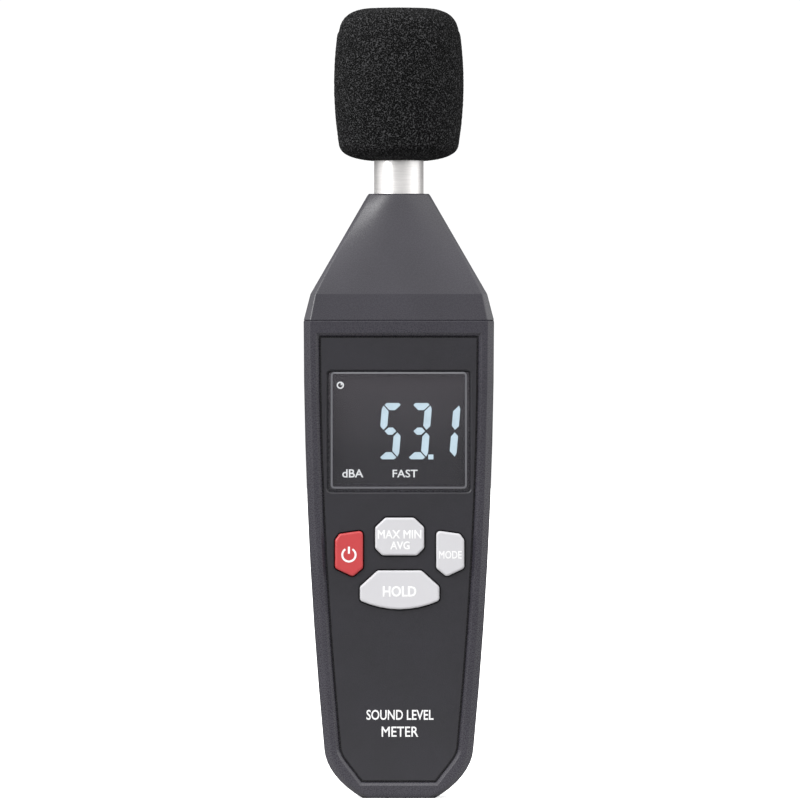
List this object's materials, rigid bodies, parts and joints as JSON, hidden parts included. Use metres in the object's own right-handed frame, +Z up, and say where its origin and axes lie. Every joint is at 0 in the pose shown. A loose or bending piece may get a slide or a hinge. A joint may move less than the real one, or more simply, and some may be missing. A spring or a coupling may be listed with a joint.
{
  "type": "sound level meter",
  "caption": "Hand-held sound level meter: tapered two-part case, display window, push buttons, half-inch microphone tube with a pull-off foam windscreen, and a sliding battery door.",
  "frame": {"origin": "middle of the flat end the meter stands on, under the microphone's axis", "axes": "+Z up the meter along the microphone's axis, -Y out of the front with its display and buttons, +X to the right seen from the front"},
  "size_m": [0.0488, 0.0332, 0.2028],
  "materials": {
    "case_plastic": "fine moulded texture",
    "panel_plastic": "fine moulded texture",
    "window_plastic": "smoked, polished",
    "light_button": "satin",
    "red_button": "satin",
    "foam": "open-cell foam",
    "satin_steel": "satin",
    "black_plastic": "moulded",
    "circuit_board": "solder mask",
    "brass": "turned",
    "spring_steel": "plated",
    "rubber": "matt",
    "display_glass": "polished",
    "light_guide": "milky",
    "cell_sleeve": "printed film",
    "trimmer_plastic": "moulded",
    "wire_sleeve": "extruded"
  },
  "bodies": {
    "meter": {"front_case": "case_plastic", "rear_case": "case_plastic", "face_plate": "panel_plastic", "display_window": "window_plastic", "mic_tube": "satin_steel", "mic_capsule": "satin_steel", "mic_grille": "satin_steel", "mic_holder": "rubber", "preamp_board": "circuit_board", "mic_lead": "wire_sleeve", "lcd_glass": "display_glass", "backlight_panel": "light_guide", "lcd_connector": "rubber", "lcd_frame": "black_plastic", "main_board": "circuit_board", "microcontroller": "black_plastic", "amplifier_chip": "black_plastic", "crystal": "satin_steel", "calibration_trimmer": "trimmer_plastic", "mic_connector": "light_guide", "capacitor_1": "satin_steel", "capacitor_2": "satin_steel", "tripod_bush": "brass", "top_contact_link": "spring_steel", "top_contact_end": "spring_steel", "bottom_contact_link": "spring_steel", "bottom_contact_end": "spring_steel", "battery_1": "cell_sleeve", "battery_spring_1": "spring_steel", "battery_2": "cell_sleeve", "battery_spring_2": "spring_steel", "battery_3": "cell_sleeve", "battery_spring_3": "spring_steel", "case_screw_1": "spring_steel", "board_screw_1": "spring_steel", "case_screw_2": "spring_steel", "board_screw_2": "spring_steel", "case_screw_3": "spring_steel", "board_screw_3": "spring_steel", "case_screw_4": "spring_steel", "board_screw_4": "spring_steel", "power_switch": "black_plastic", "max_min_switch": "black_plastic", "mode_switch": "black_plastic", "hold_switch": "black_plastic"},
    "windscreen": {"windscreen": "foam"},
    "battery_door": {"battery_door": "case_plastic"},
    "power_button": {"power_button": "red_button", "power_plunger": "black_plastic"},
    "max_min_button": {"max_min_button": "light_button", "max_min_plunger": "black_plastic"},
    "mode_button": {"mode_button": "light_button", "mode_plunger": "black_plastic"},
    "hold_button": {"hold_button": "light_button", "hold_plunger": "black_plastic"}
  },
  "joints": [
    {"name": "windscreen_pull", "type": "slide", "parent": "meter", "child": "windscreen", "axis": [0, 0, 1], "range_m": [0, 0.032]},
    {"name": "battery_door_slide", "type": "slide", "parent": "meter", "child": "battery_door", "axis": [0, 0, -1], "range_m": [0, 0.074]},
    {"name": "power_press", "type": "slide", "parent": "meter", "child": "power_button", "axis": [0, 1, 0], "range_m": [0, 0.0006], "stiffness_N_per_m": 800},
    {"name": "max_min_press", "type": "slide", "parent": "meter", "child": "max_min_button", "axis": [0, 1, 0], "range_m": [0, 0.0006], "stiffness_N_per_m": 800},
    {"name": "mode_press", "type": "slide", "parent": "meter", "child": "mode_button", "axis": [0, 1, 0], "range_m": [0, 0.0006], "stiffness_N_per_m": 800},
    {"name": "hold_press", "type": "slide", "parent": "meter", "child": "hold_button", "axis": [0, 1, 0], "range_m": [0, 0.0006], "stiffness_N_per_m": 800}
  ]
}
